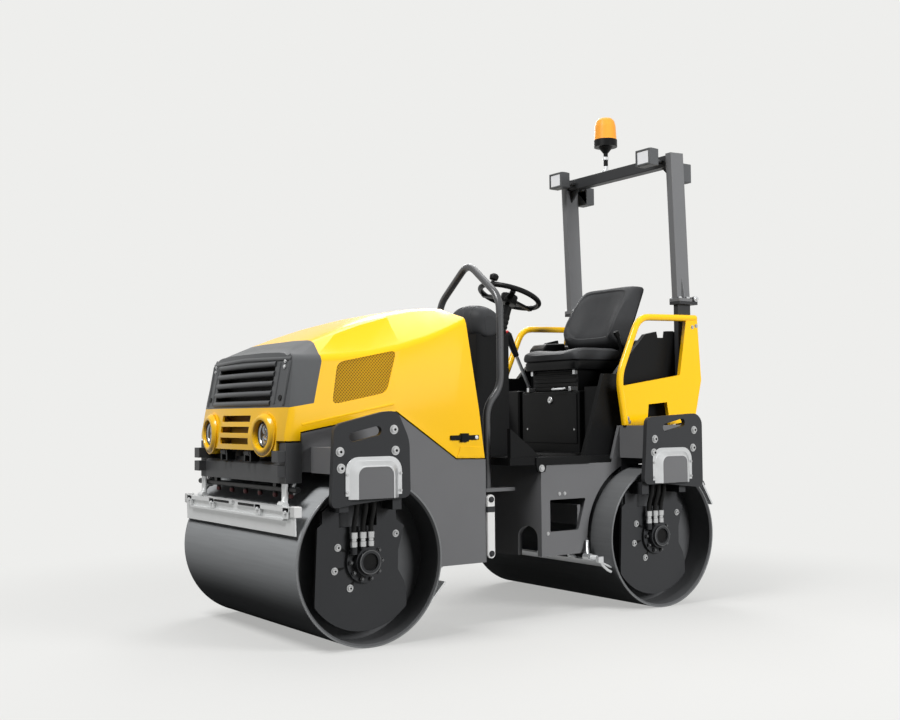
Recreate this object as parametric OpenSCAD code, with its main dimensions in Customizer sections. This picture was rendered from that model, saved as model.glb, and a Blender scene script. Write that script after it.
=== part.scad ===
// Tandem road roller with a steered centre joint, in millimetres.
// The front is -Y, the machine's left is +X and up is +Z.

/* [Drums] */
// Diameter of both drums
drum_d = 720; // [680:1:760]
// Width of both drums
drum_w = 1200; // [1160:1:1240]
// Thickness of the drum shell
drum_wall = 15; // [10:1:22]
// Depth of the open recess at each drum end
drum_recess = 150; // [130:1:165]
// Thickness of the web that closes the recess
web_t = 20; // [12:1:28]
// Distance between the two drum axles
wheelbase = 1736; // [1700:1:1780]
// Radius of the spindles that carry the drums
spindle_r = 40; // [30:1:50]

/* [Chassis] */
// Half width over the chassis side plates
frame_half = 450; // [440:1:460]
// Thickness of the chassis plates
plate_t = 20; // [12:1:24]
// Height of the chassis underside
frame_low = 290; // [270:1:310]
// Rear edge of the front side plates, ahead of the steering pin
front_tail = 150; // [140:1:170]
// Front edge of the rear side plates, behind the steering pin
rear_nose = 187; // [180:1:220]
// Top of the front tray that carries the engine
tray_top = 766; // [762:1:775]
// Top of the rear chassis, under the platform
rear_top = 738; // [732:1:745]
// Room between drum and chassis
drum_gap = 26; // [20:1:32]
// Top of the rear outriggers, where the side guards stand
outrigger_top = 925; // [905:1:940]

/* [Forks] */
// Gap between the drum end and the fork plate
fork_gap = 25; // [20:1:35]
// Thickness of the fork plates
fork_t = 25; // [18:1:30]
// Thickness of the carrier plate inside the drum recess
carrier_t = 15; // [10:1:20]
// Depth of the carrier plate inside the drum end
carrier_depth = 65; // [55:1:75]
// Radius of the drive motor
motor_r = 62; // [50:1:75]
// Outer diameter of the hydraulic hoses
hose_d = 22; // [16:1:26]
// Width of the silver guard over the fork opening
guard_w = 262; // [240:1:280]

/* [Steering] */
// Radius of the steering pin
pin_r = 35; // [28:1:42]
// Underside of the lower tongue
tongue_low = 330; // [320:1:340]
// Upper side of the upper tongue
tongue_high = 630; // [620:1:650]
// Thickness of each tongue
tongue_t = 30; // [22:1:36]
// Radius of the round ends at the steering pin
tongue_r = 70; // [64:1:76]

/* [Hood] */
// Overhang of the hood flanks past the chassis plates
hood_over = 5; // [0:1:12]
// Wall of the moulded hood
hood_wall = 10; // [7:1:14]
// Height of the hood top at the front
hood_front_z = 1262; // [1250:1:1280]
// Height of the hood top at the rear
hood_rear_z = 1506; // [1480:1:1530]
// Distance from the steering pin to the hood nose
hood_nose = 1240; // [1232:1:1250]
// Radius of each headlight
lamp_r = 58; // [50:1:64]
// Distance of each headlight from the hood flank
lamp_side = 169; // [155:1:185]
// Height of the headlights
lamp_z = 906; // [900:1:912]
// Radius of the hood hinge pins
hood_pin_r = 8; // [6:1:10]

/* [Platform] */
// Overhang of the platform floor past the chassis plates
floor_over = 20; // [12:1:23]
// Top of the platform floor
floor_z = 775; // [765:1:785]
// Half width of the seat
seat_half = 240; // [220:1:250]
// Top of the seat box
seat_box_z = 1110; // [1090:1:1130]
// Top of the seat cushion
cushion_z = 1344; // [1330:1:1360]
// Diameter of the handrail tube
rail_d = 38; // [30:1:44]
// Half width of the handrail arch
rail_half = 268; // [255:1:285]
// Height of the handrail apex
rail_apex = 1776; // [1740:1:1800]
// Diameter of the steering wheel
steer_wheel_d = 350; // [320:1:400]
// Tilt of the steering wheel towards the seat
steer_tilt = 20; // [16:1:26]
// Gap between the chassis plates and the yellow side guards
guard_gap = 28; // [26:1:40]
// Thickness of the yellow side guards
guard_t = 22; // [16:1:28]

/* [Roll bar] */
// Height of the fold flange
fold_z = 1592; // [1570:1:1610]
// Inset of the post centres from the chassis plates
post_inset = 12; // [10:1:16]
// Width of each post across the machine
post_w = 40; // [36:1:44]
// Depth of each post along the machine
post_d = 95; // [80:1:104]
// Height of the roll bar top
post_top = 2400; // [2350:1:2450]
// Forward lean of the upper posts
post_lean = 2.4; // [1:0.1:4]
// Diameter of the beacon lens
beacon_d = 136; // [110:1:150]
// Height of the beacon lens
beacon_h = 130; // [110:1:150]

/* [Hidden] */
$fn = 48;

grey = "#4a4d50";
yellow = "#f2c400";
black = "#1d1e20";
silver = "#c9ccce";

running = 0.05;
seat_gap = 0.3;
over = 1;
drum_r = drum_d / 2;
axle_y = wheelbase / 2;
bore_r = spindle_r + running;
web_out = drum_w / 2 - drum_recess;
web_in = web_out - web_t;
fork_half = drum_w / 2 + fork_gap + fork_t;
fork_in = fork_half - fork_t;
carrier_half = drum_w / 2 - carrier_depth;
carrier_in = carrier_half - carrier_t;
hood_half = frame_half + hood_over;
floor_half = frame_half + floor_over;
guard_in = frame_half + guard_gap;
post_x = frame_half - post_inset;
lamp_x = hood_half - lamp_side;
inner_half = frame_half - plate_t;
arch_r = drum_r + drum_gap;
tray_low = drum_r * 2 + drum_gap;
bulkhead_y = -260;
hood_lean = 0.185;
hood_rear_y = -246;
hood_len = hood_nose + hood_rear_y;
bumper_front = 38 - hood_nose;
bumper_back = 114 - hood_nose;
post_y = 1200;
front_reach = hood_nose;
rear_reach = post_y + 78;
mid_shift = (front_reach - rear_reach) / 2;

// Place along the hood, as a share of its length from the rear edge
function along(t) = hood_rear_y - t * hood_len;

// Helpers
module placed() translate([0, mid_shift, 0]) children();

module both_sides() {
    children();
    mirror([1, 0, 0]) children();
}

module box(low, high) translate(low) cube(high - low);

module yz(x, t) translate([x, 0, 0]) rotate([90, 0, 90]) linear_extrude(t) children();

module rod_x(r, x0, x1, y, z) translate([x0, y, z]) rotate([0, 90, 0]) cylinder(r = r, h = x1 - x0);

module rod_y(r, y0, y1, x, z) translate([x, y0, z]) rotate([-90, 0, 0]) cylinder(r = r, h = y1 - y0);

module rod_z(r, z0, z1, x, y) translate([x, y, z0]) cylinder(r = r, h = z1 - z0);

module rounded_rect(size, r) {
    translate([r, 0]) square([size.x - 2 * r, size.y]);
    translate([0, r]) square([size.x, size.y - 2 * r]);
    for (x = [r, size.x - r], y = [r, size.y - r]) translate([x, y]) circle(r = r);
}

function unit(v) = v / norm(v);

// A polyline with each inner corner replaced by a curve
function rounded_path(pts, r, steps = 5) = concat([pts[0]],
    [for (i = [1 : len(pts) - 2])
        let (p = pts[i], a = pts[i - 1], b = pts[i + 1],
            reach = min(r, norm(a - p) / 2, norm(b - p) / 2),
            s = p + unit(a - p) * reach, e = p + unit(b - p) * reach)
        for (k = [0 : steps]) let (t = k / steps) (1 - t) * (1 - t) * s + 2 * t * (1 - t) * p + t * t * e],
    [pts[len(pts) - 1]]);

// A closed outline with each corner replaced by a curve
function rounded_poly(pts, r, steps = 4) = let (n = len(pts)) [for (i = [0 : n - 1])
    let (p = pts[i], a = pts[(i + n - 1) % n], b = pts[(i + 1) % n],
        reach = min(r, 0.48 * norm(a - p), 0.48 * norm(b - p)),
        s = p + unit(a - p) * reach, e = p + unit(b - p) * reach)
    for (k = [0 : steps]) let (t = k / steps) (1 - t) * (1 - t) * s + 2 * t * (1 - t) * p + t * t * e];

// Triangles between n rings of m points each, the rings turning anticlockwise about the way they follow
function wall_faces(n, m) = [for (i = [0 : n - 2], k = [0 : m - 1])
    let (a = i * m + k, b = i * m + (k + 1) % m) each [[a, a + m, b], [b, a + m, b + m]]];

// A round tube along a path, with its rings set against one reference direction
module sweep(path, r, ref, sides = 12) {
    n = len(path);
    ring = [for (i = [0 : n - 1])
        let (t = unit(path[min(i + 1, n - 1)] - path[max(i - 1, 0)]), u = unit(cross(t, ref)),
            v = cross(t, u))
        for (k = [0 : sides - 1]) path[i] + r * (cos(360 * k / sides) * u + sin(360 * k / sides) * v)];
    polyhedron(points = ring, faces = concat(wall_faces(n, sides), [[for (k = [0 : sides - 1]) k],
        [for (k = [0 : sides - 1]) n * sides - 1 - k]]));
}

// Closed loft through sections with the same count of points
module loft(sections) {
    n = len(sections);
    m = len(sections[0]);
    polyhedron(points = [for (s = sections) each s],
        faces = concat(wall_faces(n, m), [[for (k = [0 : m - 1]) k],
        [for (k = [0 : m - 1]) n * m - 1 - k]]));
}

// Drums
module drum(y) {
    color(grey) placed() translate([0, y, drum_r]) rotate([0, 90, 0]) rotate_extrude($fn = 96) {
        bevel = 8;
        difference() {
            translate([drum_r - drum_wall, -drum_w / 2]) square([drum_wall, drum_w]);
            for (s = [-1, 1]) translate([drum_r - drum_wall, s * drum_w / 2]) rotate(45)
                square(bevel * sqrt(2), true);
        }
        for (s = [-1, 1]) translate([bore_r, s > 0 ? web_in : -web_out])
            square([drum_r - drum_wall / 2 - bore_r, web_t]);
    }
}

module front_drum() drum(-axle_y);

module rear_drum() drum(axle_y);

// Forks, with the carrier plate, gearcase and spindle of one drum end
carrier_r = drum_r - drum_wall - 45;
gearcase_r = 96;
spindle_end = web_in - 18;
leg_low = 580;
leg_high = 640;
leg_w = 46;
legs = [-172, 90];
guard_shift = 18;
guard_low = 634;
guard_high = 798;
guard_bulge = 24;
face_half = guard_w / 2 - 45;
face_high = guard_high - 30;

module carrier_outline() intersection() {
    circle(r = carrier_r, $fn = 96);
    polygon([[-241, -150], [-228, 153], [-205, 170], [-205, 330], [-123, 330], [-123, 150], [63, 150],
        [63, 330], [163, 330], [163, 169], [205, 141], [174, 37], [172, -48], [203, -101], [215, -150],
        [215, -330], [-241, -330]]);
}

module fork_body(outline, y, guard_y, slot) {
    difference() {
        yz(fork_in, fork_t) translate([y, 0]) polygon(rounded_poly(outline, 36));
        yz(fork_in - over, fork_t + 2 * over) translate([y + slot.x, slot.y]) rotate(12)
            translate([-80, -20]) rounded_rect([160, 40], 19);
    }
    yz(fork_half - over, guard_bulge - 1) translate([guard_y, 0])
        polygon(guard_outline(face_half - seat_gap, face_high - seat_gap, 36, guard_low));
    for (leg = legs) box([carrier_half, y + leg, leg_low], [fork_in, y + leg + leg_w, leg_high]);
    box([hose_top_x - 34, y + ports[0] - 28, hose_top], [fork_in + over, y + ports[2] + 28, hose_top + 26]);
    yz(carrier_in, carrier_t) translate([y, drum_r]) carrier_outline();
    rod_x(gearcase_r, web_out + 8, carrier_in, y, drum_r);
    rod_x(spindle_r, spindle_end, web_out + 8, y, drum_r);
}

front_slot = [-58, 908];
rear_slot = [36, 926];
front_outline = [[-224, 596], [-208, 947], [39, 1004], [104, 1004], [163, 880], [168, 632], [20, 624],
    [-140, 610]];
rear_outline = [[-180, 630], [-164, 800], [-153, 968], [200, 986], [240, 950], [240, 600], [120, 612],
    [-20, 628]];

// Outline with a square foot and round upper corners
function guard_outline(half, high, r, low) = concat([[-half, low], [half, low]],
    [for (k = [0 : 6]) [half - r + r * cos(15 * k), high - r + r * sin(15 * k)]],
    [for (k = [6 : -1 : 0]) [r - half - r * cos(15 * k), high - r + r * sin(15 * k)]]);

module front_fork() color(grey) placed() fork_body(front_outline, -axle_y, -axle_y - guard_shift,
    front_slot);

module rear_fork() color(grey) placed() fork_body(rear_outline, axle_y, axle_y + guard_shift, rear_slot);

module front_fork_left() front_fork();

module front_fork_right() mirror([1, 0, 0]) front_fork();

module rear_fork_left() rear_fork();

module rear_fork_right() mirror([1, 0, 0]) rear_fork();

module guard_cover(y) difference() {
    union() {
        loft([for (s = [[0, guard_w / 2 - 6, guard_high, 52],
            [guard_bulge, face_half + 6, face_high + 6, 40]])
            [for (p = guard_outline(s[1], s[2], s[3], guard_low)) [fork_half + s[0], y + p.x, p.y]]]);
        yz(fork_half, 4) translate([y, 0])
            polygon(guard_outline(guard_w / 2 + 8, guard_high + 14, 62, guard_low + 14));
    }
    yz(fork_half - over, guard_bulge + 2 * over) translate([y, 0])
        polygon(guard_outline(face_half, face_high, 36, guard_low - over));
}

module front_guards() color(silver) placed() both_sides() guard_cover(-axle_y - guard_shift);

module rear_guards() color(silver) placed() both_sides() guard_cover(axle_y + guard_shift);

port_x = carrier_half + 26;
ports = [-66, -22, 18];
port_high = drum_r + motor_r + 40;

module motor(y) {
    rod_x(motor_r + 30, carrier_half, carrier_half + 14, y, drum_r);
    rod_x(motor_r, carrier_half, carrier_half + 42, y, drum_r);
    difference() {
        rod_x(motor_r - 10, carrier_half + 42 - over, carrier_half + 56, y, drum_r);
        rod_x(motor_r - 24, carrier_half + 46, carrier_half + 57, y, drum_r);
    }
    for (a = [0 : 36 : 324]) rod_x(8, carrier_half + 14 - over, carrier_half + 24,
        y + (motor_r + 15) * cos(a), drum_r + (motor_r + 15) * sin(a));
    for (dy = ports) {
        rod_z(15, drum_r + 34, port_high - 22, port_x, y + dy);
        rod_z(12, port_high - 22 - over, port_high, port_x, y + dy);
    }
}

module front_motors() color(black) placed() both_sides() motor(-axle_y);

module rear_motors() color(black) placed() both_sides() motor(axle_y);

outrigger_low = 760;
wing_low = 742;
hose_top_x = fork_in - 36;
hose_top = 636;

module hose_set(y) for (dy = ports)
    sweep(rounded_path([[port_x, y + dy, port_high + seat_gap], [port_x, y + dy, port_high + 58],
        [hose_top_x, y + dy, hose_top - 46], [hose_top_x, y + dy, hose_top - seat_gap]], 44, 3),
        hose_d / 2, [0, 1, 0], 10);

module front_hoses() color(black) placed() both_sides() hose_set(-axle_y);

module rear_hoses() color(black) placed() both_sides() hose_set(axle_y);

// Front chassis
panel_top = [[-front_tail, 775], [hood_rear_y - 75, 779], [along(0.405), 999], [bumper_back, 912]];
wing_front = -axle_y - 212;
wing_rear = -axle_y + 156;
wing_top = 852;
firewall_top = 1395;

module front_frame() color(grey) placed() {
    both_sides() difference() {
        yz(inner_half, plate_t) polygon(concat([[bumper_back, tray_low], [-front_tail, tray_low]],
            panel_top));
        yz(inner_half - over, plate_t + 2 * over) translate([-axle_y, drum_r]) circle(r = arch_r, $fn = 96);
    }
    both_sides() difference() {
        yz(inner_half, plate_t) translate([-axle_y, frame_low])
            square([axle_y - front_tail, tray_low - frame_low]);
        yz(inner_half - over, plate_t + 2 * over) translate([-axle_y, drum_r]) circle(r = arch_r, $fn = 96);
    }
    box([-inner_half, bumper_back, tray_low], [inner_half, bulkhead_y, tray_top]);
    box([-inner_half, bulkhead_y - plate_t, frame_low], [inner_half, bulkhead_y, tray_low]);
    box([-inner_half + 20, bulkhead_y - plate_t, tray_top], [inner_half - 20, bulkhead_y, firewall_top]);
    both_sides() box([frame_half - over, wing_front, wing_low], [fork_in, wing_rear, wing_top]);
    for (z = [tongue_low, tongue_high - tongue_t]) difference() {
        union() {
            rod_z(tongue_r, z, z + tongue_t, 0, 0);
            box([-tongue_r - 20, bulkhead_y, z], [tongue_r + 20, -tongue_r, z + tongue_t]);
            box([-tongue_r, -tongue_r - over, z], [tongue_r, 0, z + tongue_t]);
        }
        rod_z(pin_r + running, z - over, z + tongue_t + over, 0, 0);
    }
    for (z = lock_holes) box([inner_half, -front_tail - over, z - 18],
        [frame_half, -front_tail + 42, z + 18]);
    for (z = [cyl_z - 40, cyl_z + 22])
        box([-cyl_front.x - 30, bulkhead_y, z], [-cyl_front.x + 30, cyl_front.y + 30, z + 18]);
}

module engine_block() color(black) placed() box([180 - inner_half, along(0.76), tray_top],
    [inner_half - 180, along(0.155), tray_top + 390]);

bumper_low = 700;
bumper_top = 788;
bumper_end = 62;

module front_bumper() color(black) placed() {
    yz(-hood_half, 2 * hood_half) polygon([[bumper_front, bumper_low], [bumper_back, bumper_low],
        [bumper_back, 838], [bumper_back - 30, 838], [bumper_back - 36, bumper_top],
        [bumper_front + 12, bumper_top], [bumper_front, bumper_top - 12]]);
    box([-80, bumper_front + 14, bumper_top - over], [80, bumper_back - 35, bumper_top + 18]);
    both_sides() box([hood_half - bumper_end, bumper_front, bumper_low], [hood_half, bumper_back, 872]);
    both_sides() for (z = [728, 790])
        box([hood_half - bumper_end, bumper_front - 36, z], [hood_half - 4, bumper_front + over, z + 48]);
    both_sides() for (x = hinge_x) {
        box([x, hood_pivot.x - 12, bumper_top - over], [x + hinge_t, hood_pivot.x + 30, hood_pivot.y]);
        rod_x(14, x, x + hinge_t, hood_pivot.x, hood_pivot.y);
    }
    both_sides() rod_x(hood_pin_r, hinge_x[0], hinge_x[1] + hinge_t, hood_pivot.x, hood_pivot.y);
}

// Scrapers
blade_half = 580;

module front_scrapers() color(silver) placed() {
    yz(-blade_half, 2 * blade_half) translate([-axle_y, 0]) polygon([[-346, 489], [-354, 489], [-358, 598],
        [-322, 606], [-322, 598], [-350, 592]]);
    both_sides() yz(hood_half - 45, 44) polygon([[-axle_y - 332, 600], [-axle_y - 322, 600],
        [bumper_front + 12, bumper_low], [bumper_front + 2, bumper_low]]);
    yz(-blade_half, 2 * blade_half) translate([-axle_y, 0])
        polygon([[306, 157], [312, 152], [398, 238], [390, 244]]);
    both_sides() yz(inner_half - 50, 30) translate([-axle_y, 0])
        polygon([[390, 238], [400, 226], [508, frame_low], [468, frame_low]]);
    both_sides() box([inner_half - 50, -axle_y + 428, frame_low],
        [inner_half, -axle_y + 528, frame_low + 40]);
}

module rear_scrapers() color(silver) placed() {
    yz(-blade_half, 2 * blade_half) translate([axle_y, 0])
        polygon([[-345, 222], [-342, 229], [-431, 269], [-434, 262]]);
    both_sides() yz(inner_half - 50, 30) translate([axle_y, 0])
        polygon([[-418, 263], [-428, 259], [-488, frame_low], [-448, frame_low]]);
    both_sides() box([inner_half - 50, axle_y - 528, frame_low],
        [inner_half, axle_y - 428, frame_low + 40]);
    yz(-blade_half, 2 * blade_half) translate([axle_y, 0])
        polygon([[380, 500], [388, 504], [312, 628], [304, 622]]);
    both_sides() yz(inner_half, plate_t) translate([axle_y, 0])
        polygon([[304, 620], [320, 630], [292, tray_low], [257, tray_low]]);
}

module front_spray_bar() color(black) placed() {
    bar_y0 = bumper_back - 50;
    half = blade_half - 60;
    rod_x(13, -half, half, bar_y0, bumper_low - 26);
    for (k = [-3 : 3]) rod_z(9, bumper_low - 52, bumper_low - 26, k * half * 0.29, bar_y0);
    both_sides() box([300, bar_y0 - 10, bumper_low - 26], [330, bar_y0 + 10, bumper_low]);
}

lock_holes = [330, 585];
lock_half_w = 20;

module lock_bar() color("white") placed() difference() {
    yz(frame_half, 12) translate([-front_tail + 22 - lock_half_w, lock_holes[0] - 22])
        rounded_rect([2 * lock_half_w, lock_holes[1] - lock_holes[0] + 44], 19);
    for (z = lock_holes) rod_x(9, frame_half - over, frame_half + 12 + over, -front_tail + 22, z);
}

// Steering cylinder, from the rear chassis to the front bulkhead on the right
cyl_z = 480;
cyl_rear = [190, 390];
cyl_front = [150, -200];
cyl_gap = cyl_rear - cyl_front;
cyl_len = norm(cyl_gap);
barrel_len = 300;
barrel_r = 32;
cyl_rod_r = 16;
rod_start = 200;

module on_cylinder() translate([-cyl_rear.x, cyl_rear.y, cyl_z])
    rotate(atan2(-cyl_gap.y, cyl_gap.x)) rotate([0, 90, 0]) children();

module steer_barrel() color(grey) placed() on_cylinder() {
    difference() {
        union() {
            translate([0, 0, 24]) cylinder(r = barrel_r, h = barrel_len + 6);
            translate([-barrel_r, 0, 0]) rotate([0, 90, 0]) cylinder(r = 28, h = 2 * barrel_r);
        }
        translate([-barrel_r - over, 0, 0]) rotate([0, 90, 0])
            cylinder(r = cyl_pin_r + running, h = 2 * barrel_r + 2);
        translate([0, 0, 60]) cylinder(r = cyl_rod_r + running, h = barrel_len);
    }
}

module steer_rod() color(silver) placed() on_cylinder() {
    translate([0, 0, rod_start]) cylinder(r = cyl_rod_r, h = cyl_len - rod_start - 24);
    translate([-17, 0, cyl_len]) rotate([0, 90, 0]) cylinder(r = 28, h = 34);
}

// Hood
hood_front_y = 90 - hood_nose;
hood_pivot = [25 - hood_nose, 825];
hood_ahead = -hood_nose - 160;
pod_r = lamp_r + 38;
hinge_x = [lamp_x - pod_r - 100, lamp_x - pod_r - 40];
hinge_t = 14;

function hood_foot(inset) = 600 - 2 * inset;
function hood_t(y) = max(0, min(1, (y - hood_front_y) / (hood_rear_y - hood_front_y)));
function hood_top(y) = hood_front_z + (hood_rear_z - hood_front_z) * (1 - pow(1 - hood_t(y), 1.7));
function hood_crease(y) = hood_front_z - 14 + (hood_rear_z - hood_front_z - 50) * pow(hood_t(y), 2.4);
function hood_crease_x(y) = hood_half - 38 + 14 * hood_t(y);
function hood_flat_x(y) = hood_half - 110 - 125 * hood_t(y);

// Half of a hood section, from the flank's foot to the middle of the top
function hood_half_section(y, inset) = let (zc = hood_crease(y), zt = hood_top(y), xc = hood_crease_x(y),
    xf = hood_flat_x(y)) [
    [hood_half - inset, hood_foot(inset)], [hood_half - inset, 1000], [xc - inset, zc - 24],
    [xc - 8 - inset, zc - 4 - inset / 2], [xc - 24 - inset, zc + 8 - inset], [xf + 26, zt - 14 - inset],
    [xf, zt - 3 - inset], [xf - 40, zt + 2 - inset], [xf / 2, zt + 6 - inset]];

function hood_section(y, inset) = let (h = hood_half_section(y, inset)) concat(
    [for (p = h) [-p.x, y, p.y]], [for (i = [len(h) - 1 : -1 : 0]) [h[i].x, y, h[i].y]]);

module nose_outline(inset) offset(delta = -inset) intersection() {
    translate([0, 2784 - hood_nose]) circle(r = 2784, $fn = 360);
    translate([-hood_half, -hood_nose - 60]) union() {
        translate([70, 0]) square([2 * hood_half - 140, 1500]);
        translate([0, 130]) square([2 * hood_half, 1370]);
        for (x = [70, 2 * hood_half - 70]) translate([x, 130]) circle(r = 70);
    }
}

module nose_limit(inset) hull() {
    translate([0, 0, 590 - 3 * inset]) linear_extrude(lamp_z - 590 + 3 * inset) nose_outline(inset);
    translate([0, hood_lean * 700, lamp_z + 700]) linear_extrude(over) nose_outline(inset);
}

module hood_form(inset) intersection() {
    loft([for (y = [hood_ahead, hood_front_y,
        for (t = [0.849, 0.769, 0.658, 0.517, 0.356, 0.205, 0.085, 0])
        along(t), inset - 100]) hood_section(y, inset)]);
    nose_limit(inset);
}

module hood_skin(outer, inner) difference() {
    hood_form(outer);
    hood_form(inner);
}

hood_side = [[hood_rear_y + 10, 1600], [hood_rear_y, 1433], [hood_rear_y + 87, 781],
    [hood_rear_y - 75, 785], [along(0.405), 1005], [along(0.891), 918], [along(0.895), 838],
    [hood_ahead, 838], [hood_ahead, 1600]];
cap_side = [[hood_ahead, 1023], [along(0.940), 1023], [along(0.823), 1041], [along(0.769), 1224],
    [along(0.775), 1400], [hood_ahead, 1400]];
mesh_window = rounded_poly([[along(0.735), 1034], [along(0.692), 1221], [along(0.385), 1282],
    [along(0.452), 1088]], 34);
slot_half = lamp_x - pod_r - 40;
vent_half = hood_half - 160;

module across(profile) yz(-700, 1400) polygon(profile);

module hood_shell() color(yellow) placed() {
    difference() {
        intersection() {
            hood_skin(0, hood_wall);
            across(hood_side);
        }
        across(cap_side);
        across(mesh_window);
        both_sides() box([hood_half - bumper_end - 6, hood_ahead, 800], [hood_half + 9, bumper_back, 880]);
        both_sides() rod_y(lamp_r + seat_gap, hood_ahead, hood_ahead + 300, lamp_x, lamp_z);
        for (k = [0 : 2]) translate([-slot_half, hood_ahead, 862 + k * 50]) cube([2 * slot_half, 250, 28]);
    }
    both_sides() difference() {
        intersection() {
            rod_y(pod_r, hood_ahead, 75 - hood_nose, lamp_x, lamp_z);
            nose_limit(-6);
        }
        rod_y(lamp_r + seat_gap, hood_ahead, hood_ahead + 300, lamp_x, lamp_z);
    }
}

module hood_grille() color(grey) placed() difference() {
    intersection() {
        hood_skin(0, hood_wall + 4);
        across(cap_side);
    }
    for (k = [0 : 3]) translate([-vent_half, hood_ahead, 1050 + k * 43]) cube([2 * vent_half, 300, 27]);
}

module hood_mesh() color("#d8b410") placed() intersection() {
    hood_skin(3, hood_wall - 2);
    across(mesh_window);
}

module headlights() color("white") placed() both_sides()
    rod_y(lamp_r, 24 - hood_nose, 70 - hood_nose, lamp_x, lamp_z);

module hood_hinges() color(black) placed() both_sides() difference() {
    union() {
        rod_x(16, hinge_x[0] + hinge_t + 2, hinge_x[1] - 2, hood_pivot.x, hood_pivot.y);
        box([hinge_x[0] + hinge_t + 2, hood_pivot.x - 10.7, hood_pivot.y],
            [hinge_x[1] - 2, hood_pivot.x + 10, 858]);
    }
    rod_x(hood_pin_r + running, hinge_x[0], hinge_x[1] + hinge_t, hood_pivot.x, hood_pivot.y);
}

module hood_latches() color(black) placed() both_sides() {
    box([hood_half, hood_rear_y - 110, 869], [hood_half + 10, hood_rear_y + 48, 891]);
    box([hood_half, hood_rear_y - 54, 860], [hood_half + 16, hood_rear_y - 14, 900]);
}

// Rear chassis
rear_back = 1105;
tail_back = 1230;
taper_x = 120;
taper_y = 90;
rail_rise = 712;
window_in = 76;
window_out = 266;
cross_y = cyl_rear.y + 44;
cyl_pin_r = 14;
rail_foot_y = -8;
rail_foot_z = 625;

module rear_frame() color(grey) placed() {
    both_sides() difference() {
        yz(inner_half, plate_t) polygon([[rear_nose, frame_low], [axle_y, frame_low], [axle_y, tray_low],
            [tail_back, tray_low], [tail_back, outrigger_top], [rail_rise, outrigger_top],
            [rail_rise - 60, rear_top], [rear_nose, rear_top]]);
        yz(inner_half - over, plate_t + 2 * over) {
            translate([axle_y, drum_r]) circle(r = arch_r, $fn = 96);
            polygon(rounded_poly([[242, 407], [424, 407], [474, 564], [242, 564]], 10));
        }
    }
    difference() {
        union() {
            both_sides() translate([0, 0, frame_low]) linear_extrude(rear_top - frame_low) polygon([
                [taper_x, taper_y], [taper_x, taper_y + plate_t], [inner_half, rear_nose + plate_t],
                [frame_half, rear_nose]]);
            box([-taper_x, taper_y, frame_low], [taper_x, taper_y + plate_t, rear_top]);
        }
        box([-window_out, 0, cyl_z - 70], [-window_in, rear_nose + plate_t, cyl_z + 60]);
        both_sides() {
            box([inner_half - 116, 0, frame_low - over], [inner_half - 4, rear_nose + plate_t, 380]);
            rod_y(56, 0, rear_nose + plate_t, inner_half - 60, 380);
        }
    }
    difference() {
        union() {
            rod_z(tongue_r, tongue_low + tongue_t + 5, tongue_high - tongue_t - 5, 0, 0);
            box([-50, 0, tongue_low + tongue_t + 5], [50, taper_y + over, tongue_high - tongue_t - 5]);
        }
        rod_z(pin_r, 0, 1000, 0, 0);
    }
    box([-inner_half - over, rear_nose, rear_top - plate_t], [inner_half + over, 470, rear_top]);
    box([-inner_half - over, cross_y, cyl_z - 50], [inner_half + over, cross_y + plate_t, cyl_z + 50]);
    for (z = [cyl_z - barrel_r - 24, cyl_z + barrel_r + 6])
        box([-cyl_rear.x - 30, cyl_rear.y - 30, z], [-cyl_rear.x + 30, cross_y + over, z + 18]);
    rod_z(cyl_pin_r, cyl_z - barrel_r - 24, cyl_z + barrel_r + 24, -cyl_rear.x, cyl_rear.y);
    box([-inner_half - over, tail_back - 60, tray_low], [inner_half + over, tail_back, outrigger_top]);
    both_sides() box([frame_half - over, rail_rise, outrigger_low], [fork_in, 1080, outrigger_top]);
    both_sides() box([rail_half - 30, rail_foot_y - 28, rail_foot_z - 18],
        [rail_half + 30, 150, rail_foot_z]);
}

module steering_pin() color(silver) placed() {
    rod_z(pin_r, tongue_low - 12, tongue_high + 12, 0, 0);
}

// Operator platform
tub_front = 22;
tank_half = inner_half - 35;
wall_in = tank_half + seat_gap;
tub_wall = 26;
sill_over = 12;
console_in = seat_half + 22;
console_out = inner_half - 40;
console_mid = -(console_in + console_out) / 2;
console_top = 1120;
arm_top = 1390;

module platform_tub() color(black) placed() {
    translate([0, 0, rear_top]) linear_extrude(floor_z - rear_top) polygon([
        [55 - floor_half, tub_front], [floor_half - 55, tub_front], [frame_half + over, 150],
        [frame_half + over, 500], [frame_half, 500], [frame_half, rail_rise - 70],
        [inner_half - 5, rail_rise - 70], [inner_half - 5, rear_back], [-inner_half + 5, rear_back],
        [-inner_half + 5, rail_rise - 70], [-frame_half, rail_rise - 70], [-frame_half, 500],
        [-frame_half - over, 500], [-frame_half - over, 150]]);
    both_sides() yz(wall_in, tub_wall) polygon([[tub_front, floor_z - over], [tub_front, 917], [160, 815],
        [200, floor_z - over]]);
    both_sides() yz(wall_in, tub_wall) polygon([[490, floor_z - over], [634, 1194], [715, 1194],
        [750, 1231], [934, 1408], [1016, 1425], [1024, 1392], [1088, 1394], [1094, 1430],
        [rear_back + 40, 1432], [rear_back + 40, 1110], [rear_back, 1090], [rear_back, floor_z - over]]);
    box([console_in, 640, floor_z - over], [wall_in + over, 990, 1130]);
    both_sides() yz(frame_half + seat_gap, sill_over - seat_gap)
        polygon([[150, rear_top], [160, 704], [204, 704], [214, rear_top], [500, rear_top], [500, floor_z],
            [150, floor_z]]);
}

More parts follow.
